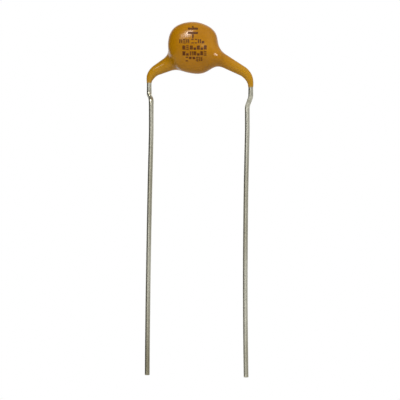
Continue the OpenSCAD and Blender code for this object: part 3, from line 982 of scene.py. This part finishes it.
class CAPACITOR_OT_finish_inside(bpy.types.Operator):
    """Finish the ceramic, its electrodes and the solder inside the coating"""

    bl_idname = "capacitor.finish_inside"
    bl_label = "Finish Inside"

    def execute(self, context):
        ceramic = grained_material("Fired Ceramic", (0.62, 0.5, 0.34), (0.5, 0.38, 0.25), 6000, 0.7)
        silver = grained_material("Fired Silver", (0.78, 0.77, 0.74), (0.6, 0.59, 0.56), 9000, 0.5, 1.0)
        solder = grained_material("Solder", (0.6, 0.6, 0.61), (0.42, 0.42, 0.43), 2500, 0.35, 1.0)
        for name, material in (
            ("ceramic_disc", ceramic), ("front_electrode", silver), ("rear_electrode", silver),
            ("front_solder", solder), ("rear_solder", solder),
        ):
            node = frame["nodes"][name]
            node.data.materials.clear()
            node.data.materials.append(material)
        return {"FINISHED"}


class CAPACITOR_OT_set_stage(bpy.types.Operator):
    """Set the pale floor, the white room, the soft lights and the camera"""

    bl_idname = "capacitor.set_stage"
    bl_label = "Set Stage"

    def execute(self, context):
        scene, objects = context.scene, bpy.data.objects
        settings = scene.capacitor.stage
        scene.view_settings.view_transform = "Standard"

        def sheet(name, corners, material):
            mesh = bpy.data.meshes.new(name)
            mesh.from_pydata(corners, [], [range(len(corners))])
            mesh.materials.append(material)
            new_piece(name, mesh)

        floor, tree, shader = new_material("Pale Floor", rough=0.8)
        point = object_point(tree)
        dusty = spread(tree, noise(tree, point, 30, 4), 0.3, 0.7)
        darker = [c * 0.97 for c in settings.floor_colour]
        fed(tree, shader, Base_Color=mix(tree, dusty, darker, settings.floor_colour))
        # Away from the part the floor runs out into the white room, as a paper sweep does
        x, y, _ = split(tree, point)
        away = spread(tree, longest(x, y + 0.08), 0.08, 0.31)
        white = add(tree, "ShaderNodeEmission", Color=(1, 1, 1, 1))
        blend = add(tree, "ShaderNodeMixShader", Fac=shown_white(tree, y, 0.15, 0.24) * away)
        tree.links.new(shader.outputs[0], blend.inputs[1])
        tree.links.new(white.outputs[0], blend.inputs[2])
        fed(tree, tree.get_output_node("ALL"), Surface=blend.outputs[0])
        z, reach, back_edge = -settings.floor_depth, 2, 0.24
        corners = (-reach, -reach, z), (reach, -reach, z), (reach, back_edge, z), (-reach, back_edge, z)
        sheet("floor", corners, floor)

        # A dark card beside the part draws the dark line down one edge of each wire
        card, tree, shader = new_material("Dark Card", rough=0.9)
        fed(tree, shader, Base_Color=(0.02, 0.02, 0.02, 1))
        x, wide, high = -0.2, 0.12, 0.3
        corners = (x, -wide, -high), (x, wide, -high), (x, wide, high), (x, -wide, high)
        sheet("card", corners, card)
        objects["card"].visible_camera = False

        # The room shows white to the camera, and in reflections of what lies behind the part
        world = bpy.data.worlds.new("Room")
        world.use_nodes = True
        tree = world.node_tree
        x, y, z = split(tree, tree.nodes.new("ShaderNodeTexCoord").outputs["Generated"])
        bright = spread(tree, x, -0.5, 0.3, settings.ambient, settings.ambient + settings.window)
        strength = choose(shown_white(tree, y, 0.6, 0.9), 1, bright)
        fed(tree, tree.nodes["Background"], Color=(1, 1, 1, 1), Strength=strength)
        scene.world = world

        def soft_light(name, towards, distance, width, height):
            lamp = bpy.data.lights.new(name, "AREA")
            lamp.shape, lamp.size, lamp.size_y = "RECTANGLE", width, height
            lamp.energy = getattr(settings, name + "_power")
            holder = objects.new(name, lamp)
            scene.collection.objects.link(holder)
            way, lit_middle = Vector(towards).normalized(), Vector((0, 0, 0.004))
            holder.location = lit_middle + way * distance
            holder.rotation_mode = "QUATERNION"
            holder.rotation_quaternion = way.to_track_quat("Z", "Y")
            return holder

        def only_on(light, name, pieces):
            """Keeps a light to these pieces."""
            lit = bpy.data.collections.new(name)
            for piece in pieces:
                lit.objects.link(objects[piece])
            light.light_linking.receiver_collection = lit

        soft_light("key", (-0.21, -0.76, 0.55), 0.35, 0.07, 0.11)
        # The fill and back lights stay out of reflections, so no glint comes from them
        fill = soft_light("fill", (0.62, -0.35, 0.7), 0.45, 0.3, 0.3)
        back = soft_light("back", (-0.25, 0.93, 0.27), 0.45, 0.3, 0.3)
        fill.visible_glossy = back.visible_glossy = False
        # A dimmer one beside the key only shows in the gloss, as a streak along the left arm
        sheen = soft_light("sheen", (-0.45, -0.74, 0.48), 0.35, 0.09, 0.09)
        # A wider one above the key spreads the glint on the disc, and is kept off the wires
        glow = soft_light("glow", (-0.15, -0.70, 0.68), 0.36, 0.1, 0.11)
        sheen.visible_diffuse = glow.visible_diffuse = False
        only_on(glow, "coated", ("dipped_coating", "printed_marking"))
        # A tall strip beside the camera draws the light line down each wire, and lights nothing else
        strip = soft_light("strip", (-0.2, -0.98, 0), 0.5, 0.14, 0.6)
        only_on(strip, "wires", (NAMES[side].lower() + "_tinned_lead" for side in (LEFT, RIGHT)))

        camera = objects.new("camera", bpy.data.cameras.new("camera"))
        scene.collection.objects.link(camera)
        aim = Vector((0.0001, 0, -0.0119))
        camera.location = aim + Vector((0, -settings.view_distance, 0))
        camera.rotation_euler = (math.pi / 2, 0, 0)
        camera.data.sensor_width = 36
        camera.data.lens = camera.data.sensor_width * settings.view_distance / settings.view_width
        camera.data.clip_start, camera.data.clip_end = 0.01, 20
        scene.camera = camera
        return {"FINISHED"}


class CAPACITOR_PT_pieces(bpy.types.Panel):
    """Lists the capacitor's pieces and their sizes and colours"""

    bl_idname = "CAPACITOR_PT_pieces"
    bl_label = "Disc Capacitor"
    bl_space_type = "VIEW_3D"
    bl_region_type = "UI"
    bl_category = "Capacitor"

    def draw(self, context):
        for title, name, steps in (
            ("Coating", "coating", (CAPACITOR_OT_form_coating,)),
            ("Leads", "leads", (CAPACITOR_OT_sweep_leads,)),
            ("Marking", "marking", (CAPACITOR_OT_print_marking, CAPACITOR_OT_finish_inside)),
            ("Stage", "stage", (CAPACITOR_OT_set_stage,)),
        ):
            box = self.layout.box()
            box.label(text=title)
            settings = getattr(context.scene.capacitor, name)
            for key in settings.__annotations__:
                box.prop(settings, key)
            for step in steps:
                box.operator(step.bl_idname)


CLASSES = (
    CoatingSettings, LeadSettings, MarkingSettings, StageSettings, CapacitorSettings,
    CAPACITOR_OT_form_coating, CAPACITOR_OT_sweep_leads, CAPACITOR_OT_print_marking,
    CAPACITOR_OT_finish_inside, CAPACITOR_OT_set_stage, CAPACITOR_PT_pieces,
)


def register():
    for item in CLASSES:
        bpy.utils.register_class(item)
    bpy.types.Scene.capacitor = PointerProperty(type=CapacitorSettings)


def unregister():
    del bpy.types.Scene.capacitor
    for item in reversed(CLASSES):
        bpy.utils.unregister_class(item)


def main():
    register()
    bpy.ops.capacitor.form_coating()
    bpy.ops.capacitor.sweep_leads()
    bpy.ops.capacitor.print_marking()
    bpy.ops.capacitor.finish_inside()
    bpy.ops.capacitor.set_stage()


if __name__ == "__main__":
    main()
